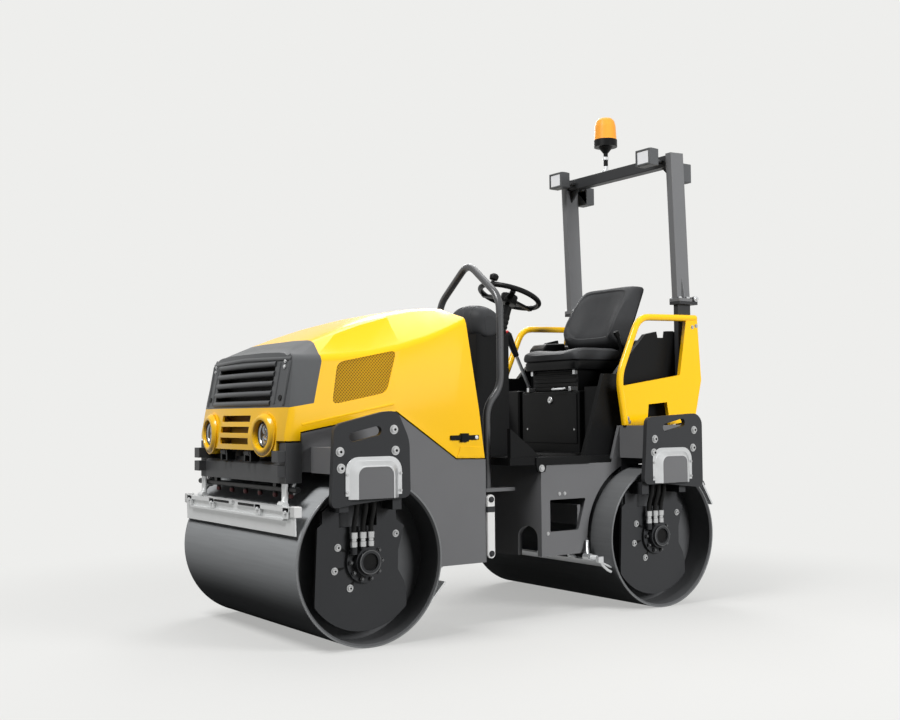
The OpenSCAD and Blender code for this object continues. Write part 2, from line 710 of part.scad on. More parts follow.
module handrail() color(grey) placed() {
    rail_y = 80;
    half = [[rail_foot_y, rail_foot_z], [rail_foot_y, 1030], [rail_y, 1120], [rail_y, 1575]];
    sweep(rounded_path(concat([for (p = half) [-rail_half, p.x, p.y]], [[0, rail_y, rail_apex]],
        [for (i = [3 : -1 : 0]) [rail_half, half[i].x, half[i].y]]), 70), rail_d / 2, unit([1, 10, 0]), 14);
}

wheel_c = [0, 350, 1617];
column_len = 430;
dash_half = 142;

module on_column() translate(wheel_c) rotate([-steer_tilt, 0, 0]) children();

module dash_console() color(black) placed() difference() {
    union() {
        box([-120, 40, floor_z], [120, 248, 1400]);
        intersection() {
            yz(-dash_half, 2 * dash_half) translate([20, 1382]) rounded_rect([168, 173], 70);
            translate([-dash_half, 0, 1382]) rotate([90, 0, 0]) translate([0, 0, -300]) linear_extrude(600)
                rounded_rect([2 * dash_half, 173], 46);
        }
    }
    on_column() translate([0, 0, -600]) cylinder(r = 30 + seat_gap, h = 640);
}

module steering_column() color(black) placed() on_column() {
    translate([0, 0, -column_len]) cylinder(r = 30, h = column_len - 60);
    translate([0, 0, -70]) cylinder(r = 12, h = 66);
}

module steering_wheel() color(black) placed() on_column() {
    rotate_extrude($fn = 72) translate([steer_wheel_d / 2 - 14, 0]) circle(r = 14, $fn = 24);
    difference() {
        translate([0, 0, -45]) cylinder(r = 45, h = 45);
        translate([0, 0, -46]) cylinder(r = 12 + running, h = 43);
    }
    for (a = [90, 210, 330]) rotate(a) translate([30, -14, -22]) cube([steer_wheel_d / 2 - 48, 28, 14]);
}

seat_front = 600;
cushion_low = cushion_z - 120;
seat_rear = 955;

module seat_box() color(black) placed() box([-seat_half - 3, 620, floor_z],
    [seat_half + 3, 975, seat_box_z]);

module seat_base() color(black) placed() box([50 - seat_half, 660, seat_box_z],
    [seat_half - 50, 930, cushion_low]);

module seat_cushion() color(black) placed() box([-seat_half, seat_front, cushion_low],
    [seat_half, seat_rear, cushion_z]);

module seat_back() color(black) placed() yz(-seat_half, 2 * seat_half)
    polygon([[870, cushion_z + seat_gap], [1030, 1692], [1090, 1700], [1112, 1680],
        [965, cushion_z + seat_gap]]);

module right_console() color(black) placed() {
    box([-console_out, 610, floor_z], [-console_in, 960, console_top]);
    yz(-console_out, console_out - console_in) polygon([[800, console_top - over], [790, arm_top - 30],
        [820, arm_top], [960, arm_top + 8], [960, console_top - over]]);
}

module travel_lever() color(black) placed() {
    rod_z(26, console_top, console_top + 14, console_mid, 745);
    translate([console_mid, 745, console_top + 8]) rotate([27, 0, 0]) {
        cylinder(r = 9, h = 230);
        translate([0, 0, 215]) cylinder(r1 = 16, r2 = 23, h = 135);
        translate([0, 0, 350 - over]) cylinder(r1 = 23, r2 = 14, h = 16);
    }
}

module water_tank() color(black) placed() box([-tank_half, 1005, floor_z], [tank_half, rear_back, 1390]);

module side_guard() color(yellow) placed() {
    yz(guard_in, guard_t) polygon([[712, outrigger_top], [860, outrigger_top], [875, 1034], [1007, 1045],
        [1030, outrigger_top], [1216, outrigger_top + 24], [1270, 1166], [1246, 1495], [1161, 1487],
        [1108, 1190], [687, 1128]]);
    sweep(rounded_path([[guard_in + guard_t / 2, 716, outrigger_top + 4],
        [guard_in + guard_t / 2, 674, 1175], [guard_in + guard_t / 2, 822, 1490],
        [guard_in + guard_t / 2, 1240, 1500]], 70), 18, [1, 0, 0], 12);
}

module side_guard_left() side_guard();

module side_guard_right() mirror([1, 0, 0]) side_guard();

// Roll bar
fold_pin = [post_y + 62, fold_z + 15];
fold_pin_r = 10;
ear_t = 14;

module rops_base() color(grey) placed() {
    both_sides() {
        box([post_x - post_w / 2, post_y - post_d / 2, outrigger_top],
            [post_x + post_w / 2 - 8, post_y + post_d / 2, fold_z - 16]);
        box([post_x - 38, post_y - 60, fold_z - 16], [post_x + 38, post_y + 78, fold_z]);
        for (x = [post_x - 38, post_x + 38 - ear_t]) {
            box([x, fold_pin.x - 16, fold_z - over], [x + ear_t, fold_pin.x + 16, fold_pin.y]);
            rod_x(16, x, x + ear_t, fold_pin.x, fold_pin.y);
        }
        rod_x(fold_pin_r, post_x - 38, post_x + 38, fold_pin.x, fold_pin.y);
    }
}

module post() color(grey) placed() difference() {
    union() {
        box([post_x - 38, post_y - 60, fold_z + seat_gap], [post_x + 38, fold_pin.x - 24, fold_z + 16]);
        box([post_x - 22, post_y, fold_z + 4], [post_x + 22, fold_pin.x, fold_z + 16]);
        rod_x(14, post_x - 22, post_x + 22, fold_pin.x, fold_pin.y);
        translate([post_x, post_y - 10, fold_z + 4]) rotate([post_lean, 0, 0])
            translate([-post_w / 2, -post_d / 2, 0])
            cube([post_w, post_d, post_top - fold_z]);
    }
    rod_x(fold_pin_r + running, post_x - 30, post_x + 30, fold_pin.x, fold_pin.y);
}

module rops_post_left() post();

module rops_post_right() mirror([1, 0, 0]) post();

bar_y = post_y - 10 - (post_top - fold_z) * sin(post_lean);

module rops_crossbar() color(grey) placed() {
    inner = post_x - post_w / 2;
    box([-inner, bar_y - 30, post_top - 65], [inner, bar_y + 30, post_top - 2]);
    both_sides() translate([0, bar_y + 8, 0]) rotate([90, 0, 0]) linear_extrude(16)
        polygon([[inner, post_top - 64], [inner - 70, post_top - 64], [inner, post_top - 135]]);
}

module work_lamps() color(black) placed() both_sides() {
    box([post_x - 125, bar_y - 165, post_top - 70], [post_x - 15, bar_y - 103, post_top + 20]);
    box([post_x - 90, bar_y - 104, post_top - 40], [post_x - 50, bar_y - 30, post_top - 28]);
    box([post_x - 90, bar_y + 58, post_top - 148], [post_x + 10, bar_y + 120, post_top - 45]);
    box([post_x - 72, bar_y + 30, post_top - 63], [post_x - 32, bar_y + 59, post_top - 50]);
}

beacon_x = -110;

module beacon_base() color(black) placed() translate([beacon_x, bar_y, 0]) {
    translate([0, 0, post_top - 2]) cylinder(r = 22, h = 10);
    translate([0, 0, post_top - 2]) cylinder(r = 13, h = 117);
    translate([0, 0, post_top + 110]) cylinder(r1 = 15, r2 = 44, h = 36);
    translate([0, 0, post_top + 145]) cylinder(r = beacon_d / 2, h = 42);
}

module beacon_lens() color("orange") placed() translate([beacon_x, bar_y, post_top + 187]) rotate_extrude()
    polygon([[0, 0], [beacon_d / 2 - 3, 0], [beacon_d / 2 - 8, beacon_h - 46],
        [beacon_d / 2 - 16, beacon_h - 18], [beacon_d / 2 - 30, beacon_h - 4],
        [beacon_d / 2 - 44, beacon_h], [0, beacon_h]]);

front_frame();
engine_block();
front_bumper();
front_fork_left();
front_fork_right();
front_guards();
front_motors();
front_hoses();
front_scrapers();
front_spray_bar();
lock_bar();
front_drum();
hood_shell();
hood_grille();
hood_mesh();
hood_hinges();
hood_latches();
headlights();
rear_frame();
steering_pin();
rear_fork_left();
rear_fork_right();
rear_guards();
rear_motors();
rear_hoses();
rear_scrapers();
rear_drum();
steer_barrel();
steer_rod();
platform_tub();
handrail();
dash_console();
steering_column();
steering_wheel();
seat_box();
seat_base();
seat_cushion();
seat_back();
right_console();
travel_lever();
water_tank();
side_guard_left();
side_guard_right();
rops_base();
rops_post_left();
rops_post_right();
rops_crossbar();
work_lamps();
beacon_base();
beacon_lens();
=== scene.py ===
import math

import bmesh
import bpy
from mathutils import Matrix, Vector


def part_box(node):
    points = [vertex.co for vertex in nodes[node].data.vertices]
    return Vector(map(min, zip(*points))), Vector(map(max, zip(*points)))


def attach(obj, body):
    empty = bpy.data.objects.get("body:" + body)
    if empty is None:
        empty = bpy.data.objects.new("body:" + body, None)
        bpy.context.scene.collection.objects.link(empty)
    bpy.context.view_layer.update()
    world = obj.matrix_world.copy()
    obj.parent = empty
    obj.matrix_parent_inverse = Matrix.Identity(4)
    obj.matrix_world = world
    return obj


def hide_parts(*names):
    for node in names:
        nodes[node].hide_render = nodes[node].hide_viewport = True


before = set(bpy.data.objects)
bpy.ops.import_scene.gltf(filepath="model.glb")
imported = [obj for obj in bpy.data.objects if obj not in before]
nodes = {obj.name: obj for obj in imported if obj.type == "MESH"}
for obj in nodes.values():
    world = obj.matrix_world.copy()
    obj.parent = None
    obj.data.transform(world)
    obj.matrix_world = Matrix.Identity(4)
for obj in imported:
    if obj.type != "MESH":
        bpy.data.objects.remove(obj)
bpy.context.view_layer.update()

# Places on the machine in millimetres: x across it, y along it from the steering pin, z up from the ground
PIN_Y = -19.0
SIDES = (-1, 1)
ACROSS, FORWARD, BACKWARD, UPWARD = (1, 0, 0), (0, -1, 0), (0, 1, 0), (0, 0, 1)
AXLE = {"front": -868, "rear": 868}
DRUM_RADIUS = 360
AXLE_Z = DRUM_RADIUS
DRUM_HALF = 600
FORK_FACE = 650
GUARD_FACE = 654
CARRIER_FACE = 535
FLANGE_FACE = 557
HOOD_NOSE = -1240
NOSE_BOW, NOSE_LEAN = 2784, 0.185
LAMP_X, LAMP_Z = 286, 906
BLADE_Y = -1236
LINK_X = 432
LOCK_X, LOCK_Y = 462, -128
BOX_FACE = 619
DASH_Y, DASH_Z = 187, 1468
WHEEL = (0, 350, 1617)
WHEEL_TILT = math.radians(20)
WHEEL_RIM = 161
LEVER_FOOT = (-326, 745, 1128)
LEVER_TILT = math.radians(27)
FOLD_Y, FOLD_Z = 1200, 1592
POST_X, POST_TOP = 438, 2400
POST_LEAN = math.radians(2.4)
BAR_Y = FOLD_Y - 10 - (POST_TOP - FOLD_Z) * math.sin(POST_LEAN)
BEACON_X, BEACON_Z = -110, 2398


def P(x, y, z):
    """A point of the machine in millimetres, as a place in the frame."""
    return Vector((x, y + PIN_Y, z)) / 1000


# Shader nodes
def add(nt, kind, **values):
    """Adds a node and sets its inputs by their names."""
    node = nt.nodes.new(kind)
    for name, value in values.items():
        node.inputs[name].default_value = value
    return node


def calculate(nt, operation, *sources):
    """Adds a Math node that works on sockets or numbers."""
    node = nt.nodes.new("ShaderNodeMath")
    node.operation = operation
    for slot, source in zip(node.inputs, sources):
        if isinstance(source, (int, float)):
            slot.default_value = source
        else:
            nt.links.new(source, slot)
    return node.outputs[0]


def mixed(nt, share, first, second):
    """Adds a mix of two shaders."""
    node = nt.nodes.new("ShaderNodeMixShader")
    for slot, source in zip(node.inputs, (share, first, second)):
        nt.links.new(source, slot)
    return node.outputs[0]


# Materials
ROUGHNESS_VARIES = 0.06
COAT_ROUGHNESS = 0.2
BUMP_DEPTH = 0.0008


def material(name, rgb, rough=0.5, metal=0.0, vary=0.06, scale=30, bump=0.0, bump_scale=250,
             coat=0.0, shine=0.3, stretch=None):
    """A surface whose colour and roughness vary a little, with a fine grain where bump is set."""
    m = bpy.data.materials.new(name)
    m.use_nodes = True
    nt = m.node_tree
    shader = nt.nodes["Principled BSDF"]
    place = nt.nodes.new("ShaderNodeTexCoord")
    noise = add(nt, "ShaderNodeTexNoise", Scale=scale, Detail=6)
    source = place.outputs["Object"]
    if stretch:
        mapping = add(nt, "ShaderNodeMapping", Scale=stretch)
        nt.links.new(source, mapping.inputs["Vector"])
        source = mapping.outputs["Vector"]
    nt.links.new(source, noise.inputs["Vector"])
    ramp = add(nt, "ShaderNodeMixRGB", Color1=[c * (1 - vary) for c in rgb] + [1],
               Color2=[min(1, c * (1 + vary)) for c in rgb] + [1])
    nt.links.new(noise.outputs["Fac"], ramp.inputs["Fac"])
    nt.links.new(ramp.outputs["Color"], shader.inputs["Base Color"])
    span = add(nt, "ShaderNodeMapRange", **{"To Min": max(0.02, rough - ROUGHNESS_VARIES),
                                            "To Max": min(1, rough + ROUGHNESS_VARIES)})
    nt.links.new(noise.outputs["Fac"], span.inputs["Value"])
    nt.links.new(span.outputs["Result"], shader.inputs["Roughness"])
    shader.inputs["Metallic"].default_value = metal
    shader.inputs["Specular IOR Level"].default_value = shine
    if coat:
        shader.inputs["Coat Weight"].default_value = coat
        shader.inputs["Coat Roughness"].default_value = COAT_ROUGHNESS
    if bump:
        grain = add(nt, "ShaderNodeTexNoise", Scale=bump_scale, Detail=3)
        nt.links.new(place.outputs["Object"], grain.inputs["Vector"])
        dent = add(nt, "ShaderNodeBump", Strength=bump, Distance=BUMP_DEPTH)
        nt.links.new(grain.outputs["Fac"], dent.inputs["Height"])
        nt.links.new(dent.outputs["Normal"], shader.inputs["Normal"])
    return m


def glowing(m, rgb, strength):
    """Gives a lamp's surface a little light of its own."""
    shader = m.node_tree.nodes["Principled BSDF"]
    shader.inputs["Emission Color"].default_value = [*rgb, 1]
    shader.inputs["Emission Strength"].default_value = strength


def perforated(name, sheet, hole, scale):
    """A sheet with round holes in rows, as a pattern of colours; the holes' colour is painted shade of what
    lies behind them.
    """
    m = material(name, sheet, 0.45, vary=0.04)
    nt = m.node_tree
    split = nt.nodes.new("ShaderNodeSeparateXYZ")
    nt.links.new(nt.nodes["Texture Coordinate"].outputs["Object"], split.inputs["Vector"])
    rows = [calculate(nt, "SINE", calculate(nt, "MULTIPLY", split.outputs[axis], scale))
            for axis in ("Y", "Z")]
    step = add(nt, "ShaderNodeMapRange", **{"From Min": 0.05, "From Max": 0.25})
    nt.links.new(calculate(nt, "MULTIPLY", *rows), step.inputs["Value"])
    mix = add(nt, "ShaderNodeMixRGB", Color1=[*sheet, 1], Color2=[*hole, 1])
    nt.links.new(step.outputs["Result"], mix.inputs["Fac"])
    nt.links.new(mix.outputs["Color"], nt.nodes["Principled BSDF"].inputs["Base Color"])
    return m


M = {
    "yellow": material("yellow paint", (0.92, 0.52, 0.003), 0.4, vary=0.015, scale=4, coat=0.85, shine=0.0),
    # Painted shade: a dark copy of the yellow paint, for the plate behind the lower slots
    "yellow_in_shade": material("yellow paint in shadow", (0.20, 0.105, 0.004), 0.6, vary=0.03),
    "grey": material("grey paint", (0.034, 0.035, 0.037), 0.42, vary=0.05, scale=8, bump=0.08, shine=0.2),
    "plate": material("side plate paint", (0.142, 0.143, 0.147), 0.45, vary=0.04, scale=8, bump=0.08),
    "post": material("roll bar paint", (0.152, 0.154, 0.158), 0.42, vary=0.04, scale=8, bump=0.08),
    "glow": material("lamp face", (0.74, 0.75, 0.77), 0.25, vary=0.01),
    "rail": material("rail paint", (0.056, 0.057, 0.060), 0.28, vary=0.03, scale=10, shine=0.6),
    "drum": material("drum steel", (0.350, 0.360, 0.367), 0.5, vary=0.12, scale=14, stretch=(0.25, 6, 6),
                     shine=0.0),
    # Painted shade: a darker copy of the drum steel for the rear drum, which sits under the platform
    "drum_in_shade": material("drum steel in painted shade", (0.145, 0.149, 0.152), 0.52, metal=0.05, vary=0.14, scale=14,
                      stretch=(0.25, 6, 6), shine=0.0),
    # The drums' recessed ends: a dark paint that also serves as painted shade of the recess
    "inside": material("drum recess paint and painted shade", (0.090, 0.092, 0.095), 0.4, vary=0.08, shine=0.2),
    "rim": material("rolled rim", (0.20, 0.205, 0.21), 0.4, metal=0.6, vary=0.1),
    "black": material("black plastic", (0.0065, 0.0067, 0.007), 0.36, vary=0.08, bump=0.2, bump_scale=420,
                      shine=0.13),
    "bumper": material("bumper rubber", (0.052, 0.053, 0.055), 0.5, vary=0.06, bump=0.2, bump_scale=420),
    "cap": material("grille plastic", (0.098, 0.101, 0.104), 0.40, vary=0.04, bump=0.15, bump_scale=500,
                    shine=0.14),
    "zinc": material("zinc plate", (0.66, 0.67, 0.68), 0.32, metal=0.85, vary=0.08),
    "blade": material("scraper blade", (0.70, 0.71, 0.71), 0.36, metal=0.45, vary=0.06, scale=12),
    "stud": material("oiled steel", (0.13, 0.132, 0.135), 0.4, metal=0.8, vary=0.08),
    "screw": material("screw zinc", (0.56, 0.565, 0.57), 0.34, metal=0.9, vary=0.08),
    "chrome": material("polished rod", (0.78, 0.79, 0.80), 0.12, metal=1.0, vary=0.01),
    "white": material("white paint", (0.72, 0.72, 0.71), 0.4, vary=0.02),
    "iron": material("engine paint", (0.03, 0.03, 0.032), 0.6, vary=0.1),
    "rubber": material("rubber", (0.010, 0.010, 0.010), 0.55, vary=0.1, shine=0.15),
    "vinyl": material("seat vinyl", (0.036, 0.037, 0.039), 0.56, vary=0.08, bump=0.35, bump_scale=600,
                      shine=0.2),
    # The holes' dark yellow is painted shade of the hood's inside seen through them
    "mesh": perforated("perforated sheet", (0.52, 0.28, 0.005), (0.13, 0.065, 0.003), 420),
    "amber": material("amber lens", (0.80, 0.33, 0.045), 0.3, vary=0.02, shine=0.1),
    "lens": material("lamp glass", (0.030, 0.033, 0.036), 0.06, vary=0.02, shine=0.5),
    "bowl": material("lamp bowl", (0.30, 0.31, 0.32), 0.22, metal=1.0, vary=0.1),
    "red": material("red plastic", (0.42, 0.012, 0.012), 0.35, vary=0.02),
    # Painted shade: a dark copy of the red plastic, for the nozzle caps under the bumper
    "red_in_shade": material("red plastic in painted shade", (0.045, 0.005, 0.005), 0.4, vary=0.02),
    "dark": material("shadowed gap", (0.006, 0.006, 0.006), 0.8, vary=0.02),
}
glowing(M["amber"], (0.9, 0.36, 0.06), 0.16)
glowing(M["glow"], (0.9, 0.9, 0.9), 0.1)

# Looks of the frame's nodes, and how far their edges are rounded
FORKS = ["front_fork_left", "front_fork_right", "rear_fork_left", "rear_fork_right"]
LOOKS = {
    "yellow": ["hood_shell", "side_guard_left", "side_guard_right"],
    "plate": ["front_frame", "rear_frame"],
    "grey": FORKS + ["front_motors", "rear_motors", "steer_barrel", "rops_base", "rops_crossbar"],
    "rail": ["handrail"],
    "post": ["rops_post_left", "rops_post_right"],
    "bumper": ["front_bumper"],
    "drum": ["front_drum"],
    # The rear drum takes the darker steel as painted shade
    "drum_in_shade": ["rear_drum"],
    "black": ["front_spray_bar", "hood_latches", "hood_hinges", "platform_tub", "dash_console",
              "steering_column", "steering_wheel", "seat_box", "seat_base", "right_console", "travel_lever",
              "water_tank", "beacon_base"],
    "cap": ["hood_grille", "work_lamps"],
    "zinc": ["front_guards", "rear_guards", "steering_pin", "rear_scrapers"],
    "blade": ["front_scrapers"],
    "chrome": ["steer_rod"],
    "white": ["lock_bar"],
    "iron": ["engine_block"],
    "rubber": ["front_hoses", "rear_hoses"],
    "vinyl": ["seat_cushion", "seat_back"],
    "mesh": ["hood_mesh"],
    "amber": ["beacon_lens"],
    "lens": ["headlights"],
}
EDGE = 2
EDGES = {"hood_shell": 2.5, "hood_grille": 4, "front_bumper": 6, "seat_box": 5, "right_console": 10,
         "water_tank": 22, "platform_tub": 6, "work_lamps": 6, "rops_post_left": 6, "rops_post_right": 6,
         "rops_crossbar": 5, "steer_barrel": 1.5, **dict.fromkeys(FORKS, 4),
         **dict.fromkeys(["front_hoses", "rear_hoses", "handrail", "front_drum", "rear_drum", "hood_mesh",
                          "beacon_lens"], 0)}


def rounded(obj, width):
    """Rounds the hard edges of a piece by that many millimetres."""
    bevel = obj.modifiers.new("bevel", "BEVEL")
    bevel.width = width / 1000
    bevel.segments = 2
    bevel.limit_method = "ANGLE"
    bevel.angle_limit = math.radians(32)
    bevel.harden_normals = True


def creased(obj, degrees):
    """Shades the edges above an angle as sharp."""
    split = obj.modifiers.new("split", "EDGE_SPLIT")
    split.split_angle = math.radians(degrees)


def soften(obj, width):
    """Smooths the curved faces of a node and rounds its hard edges, or leaves them sharp at no width."""
    mesh = obj.data
    if "custom_normal" in mesh.attributes:
        mesh.attributes.remove(mesh.attributes["custom_normal"])
    for face in mesh.polygons:
        face.use_smooth = True
    weld = obj.modifiers.new("weld", "WELD")
    weld.merge_threshold = 0.00002
    if width:
        flat = obj.modifiers.new("flat", "DECIMATE")
        flat.decimate_type = "DISSOLVE"
        flat.angle_limit = math.radians(0.6)
        rounded(obj, width)
    else:
        creased(obj, 32)


for look, names in LOOKS.items():
    for name in names:
        nodes[name].data.materials.clear()
        nodes[name].data.materials.append(M[look])
        soften(nodes[name], EDGES.get(name, EDGE))


# Some nodes have a second paint on part of their faces
HINGE_BOXES = {"above": 788.5, "within": 300}


def second(name, look, where):
    """Paints the faces whose centre passes a test, in metres."""
    obj = nodes[name]
    obj.data.materials.append(M[look])
    for face in obj.data.polygons:
        face.material_index = 1 if where(obj.matrix_world @ face.center) else 0


# The drums' recessed ends take the darker paint, partly painted shade of the recess
for end, y in AXLE.items():
    axle = P(0, y, AXLE_Z)
    second(end + "_drum", "inside",
           lambda c: math.hypot(c.y - axle.y, c.z - axle.z) < (DRUM_RADIUS - 4) / 1000)
for name in FORKS:
    second(name, "plate", lambda c: abs(c.x) > (FORK_FACE + 5) / 1000)
second("front_bumper", "black",
       lambda c: c.z > HINGE_BOXES["above"] / 1000 and abs(c.x) < HINGE_BOXES["within"] / 1000)


# Forms that the added pieces are made of
def circle(bm, at, u, v, r, sides):
    """Corners round a place, r in millimetres."""
    turns = (2 * math.pi * k / sides for k in range(sides))
    return [bm.verts.new(at + (u * math.cos(a) + v * math.sin(a)) * r / 1000) for a in turns]


def bridge(bm, a, b):
    """Faces between two rings with the same number of corners."""
    n = len(a)
    for k in range(n):
        bm.faces.new([a[k], a[(k + 1) % n], b[(k + 1) % n], b[k]])


def turned(bm, profile, at, axis, sides=24, close="ends"):
    """Adds a turned form: profile is (radius, distance along the axis) in millimetres, from at.

    It is closed by flat ends, or as a ring from its last edge to its first, or left open.
    """
    axis = Vector(axis).normalized()
    u = axis.orthogonal().normalized()
    v = axis.cross(u)
    rings = []
    for r, d in profile:
        centre = at + axis * d / 1000
        rings.append(circle(bm, centre, u, v, r, sides) if r > 0 else [bm.verts.new(centre)])
    if close == "ends":
        for ring in (rings[0], rings[-1]):
            if len(ring) > 1:
                bm.faces.new(ring)
    pairs = list(zip(rings, rings[1:]))
    if close == "ring":
        pairs.append((rings[-1], rings[0]))
    for a, b in pairs:
        for k in range(sides):
            loop = []
            for ring, order in ((a, (k, k + 1)), (b, (k + 1, k))):
                for i in order:
                    vert = ring[i % len(ring)]
                    if vert not in loop:
                        loop.append(vert)
            if len(loop) > 2:
                bm.faces.new(loop)


def bolt(bm, at, axis, r=10, head=7):
    """A hexagon screw with its washer."""
    turned(bm, [(0, 0), (r * 1.35, 0), (r * 1.35, 2), (0, 2)], at, axis, 20)
    turned(bm, [(r, 2), (r, 1.5 + head * 0.8), (r * 0.8, 1.5 + head), (0, 1.5 + head)], at, axis, 6)


def spot(bm, at, axis, r, height=0.5, sides=6):
    """A thin disc, laid on as painted shade in a socket or gap."""
    turned(bm, [(r, 0), (r, height), (0, height)], at, axis, sides)


def block(bm, low, high):
    """Adds a box between two corners in millimetres."""
    a, b = P(*low), P(*high)
    for v in bmesh.ops.create_cube(bm, size=1)["verts"]:
        v.co = Vector((a[i] if v.co[i] < 0 else b[i] for i in range(3)))


def tube(bm, points, r, sides=12):
    """Adds a round bar along points in millimetres."""
    points = [P(*q) for q in points]
    rings = []
    u = None
    for i, q in enumerate(points):
        t = (points[min(i + 1, len(points) - 1)] - points[max(i - 1, 0)]).normalized()
        u = (u - t * u.dot(t) if u else t.orthogonal()).normalized()
        rings.append(circle(bm, q, u, t.cross(u), r, sides))
    for a, b in zip(rings, rings[1:]):
        bridge(bm, a, b)
    bm.faces.new(rings[0][::-1])
    bm.faces.new(rings[-1])


def prism(bm, low, high):
    """Adds a solid between two outlines with the same number of corners."""
    low, high = ([bm.verts.new(P(*q)) for q in outline] for outline in (low, high))
    bm.faces.new(low[::-1])
    bm.faces.new(high)
    bridge(bm, low, high)


def plate(bm, outline, x0, x1):
    """Adds a flat plate: outline in the side view (y, z), between two places across the machine."""
    prism(bm, [(x0, y, z) for y, z in outline], [(x1, y, z) for y, z in outline])


# Pieces that the scene adds
def piece(name, bm, look, body, smooth=True, edge=0.0):
    """Makes an object of a form, with its look, that moves with a body of the frame."""
    mesh = bpy.data.meshes.new(name)
    bmesh.ops.recalc_face_normals(bm, faces=bm.faces)
    bm.to_mesh(mesh)
    bm.free()
    obj = bpy.data.objects.new(name, mesh)
    bpy.context.scene.collection.objects.link(obj)
    mesh.materials.append(M[look])
    for face in mesh.polygons:
        face.use_smooth = smooth
    if edge:
        rounded(obj, edge)
    elif smooth:
        creased(obj, 35)
    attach(obj, body)
    return obj


def boxes(name, look, body, corners, sides=SIDES, edge=0.0):
    """A piece of boxes, each with its low and high corner, on each of the sides."""
    bm = bmesh.new()
    for s in sides:
        for low, high in corners:
            block(bm, (s * low[0], *low[1:]), (s * high[0], *high[1:]))
    piece(name, bm, look, body, edge=edge)


def turned_pair(name, look, body, profile, at, axis, sides=24, close="ends"):
    """A piece of two turned forms, one on each side."""
    bm = bmesh.new()
    for s in SIDES:
        turned(bm, profile, P(s * at[0], *at[1:]), (s * axis[0], *axis[1:]), sides, close)
    piece(name, bm, look, body)


# Screws on the forks, guards, drum carriers and motors, with dark discs as painted shade in their sockets, in
# the hub bores and beside the carrier screws
FORK_SCREWS = {"front": [(-1050, 835), (-1045, 766), (-785, 925), (-778, 835)],
               "rear": [(765, 857), (757, 789), (1047, 899), (1037, 808)]}
GUARD_SCREWS = [(-132, 664), (-132, 738), (132, 664), (132, 738)]
CARRIER_SCREWS = [(-130, 65), (-146, -33), (-71, -111), (160, 108)]
PORTS = (-66, -22, 18)
STUDS = {"count": 10, "circle": 77}
HUB = {"face": 591, "bore": 581}
for end, axle in AXLE.items():
    guard = axle + math.copysign(18, axle)
    screws, shadows, studs = bmesh.new(), bmesh.new(), bmesh.new()
    for s in SIDES:
        out = (s, 0, 0)
        for y, z in FORK_SCREWS[end]:
            bolt(screws, P(s * FORK_FACE, y, z), out, 15, 10)
            # A dark disc in each screw head: painted shade of its socket
            spot(shadows, P(s * (FORK_FACE + 11.5), y, z), out, 6.5)
        for y, z in CARRIER_SCREWS:
            bolt(screws, P(s * CARRIER_FACE, axle + y, AXLE_Z + z), out, 12, 9)
            # A dark disc in each carrier screw: painted shade of its socket
            spot(shadows, P(s * (CARRIER_FACE + 10.5), axle + y, AXLE_Z + z), out, 5)
        for k in range(STUDS["count"]):
            a = 2 * math.pi * k / STUDS["count"]
            y, z = STUDS["circle"] * math.cos(a), STUDS["circle"] * math.sin(a)
            bolt(studs, P(s * FLANGE_FACE, axle + y, AXLE_Z + z), out, 7, 7)
        turned(studs, [(52.2, -3), (52.6, -0.5), (51.6, 0.8), (48, 0.8)],
               P(s * HUB["face"], axle, AXLE_Z), out, 48, "ring")
        for y, z in GUARD_SCREWS:
            bolt(screws, P(s * GUARD_FACE, guard + y, z), out, 5.5, 4)
        for y in PORTS:
            turned(screws, [(15.6, 0), (15.6, 22), (13, 24), (13, 34), (17, 36), (17, 62), (12, 64)],
                   P(s * (FLANGE_FACE + 4), axle + y, AXLE_Z + 66), UPWARD, 20)
        # A dark disc in the hub bore: painted shade of the hole
        turned(shadows, [(36, 0), (34, 1.5), (12, 2), (0, 2)], P(s * HUB["bore"], axle, AXLE_Z), out, 32)
        # Dark discs that shrink from three carrier screws towards the axle: a painted shadow
        for y, z in CARRIER_SCREWS[:3]:
            for k in range(6):
                part = 0.93 - 0.045 * k
                spot(shadows, P(s * CARRIER_FACE, axle + y * part, AXLE_Z + z * part), out, 9 - k,
                     0.6 + 0.05 * k, 16)
    piece(end + "_screws", screws, "screw", end)
    piece(end + "_shadows", shadows, "dark", end)
    piece(end + "_studs", studs, "stud", end)

for end, axle in AXLE.items():
    bm = bmesh.new()
    for s in SIDES:
        turned(bm, [(352.5, -0.5), (353, 0.6), (359, 0.6), (360.3, -1.2), (360.3, -5)],
               P(s * DRUM_HALF, axle, AXLE_Z), (s, 0, 0), 128, "ring")
    piece(end + "_drum_edges", bm, "rim", end + "_drum")

# Hood trim: plates behind the vents and discs on the cap as painted shade, lamps, latch buttons, louvres, cap
# screws and beads
CAP_FACING = (0.13, -0.97, 0.18)
# A dark plate behind the upper grille: painted shade of the hood's inside
bm = bmesh.new()
plate(bm, [(-1118, 1034), (-1122, 1034), (-1088, 1222), (-1084, 1222)], -345, 345)
piece("grille_shade_plate", bm, "dark", "hood")
# A plate of shaded yellow behind the lower slots: painted shade of the hood's inside
bm = bmesh.new()
plate(bm, [(-1168, 852), (-1172, 852), (-1172, 1008), (-1168, 1008)], -175, 175)
piece("slot_shade_plate", bm, "yellow_in_shade", "hood")

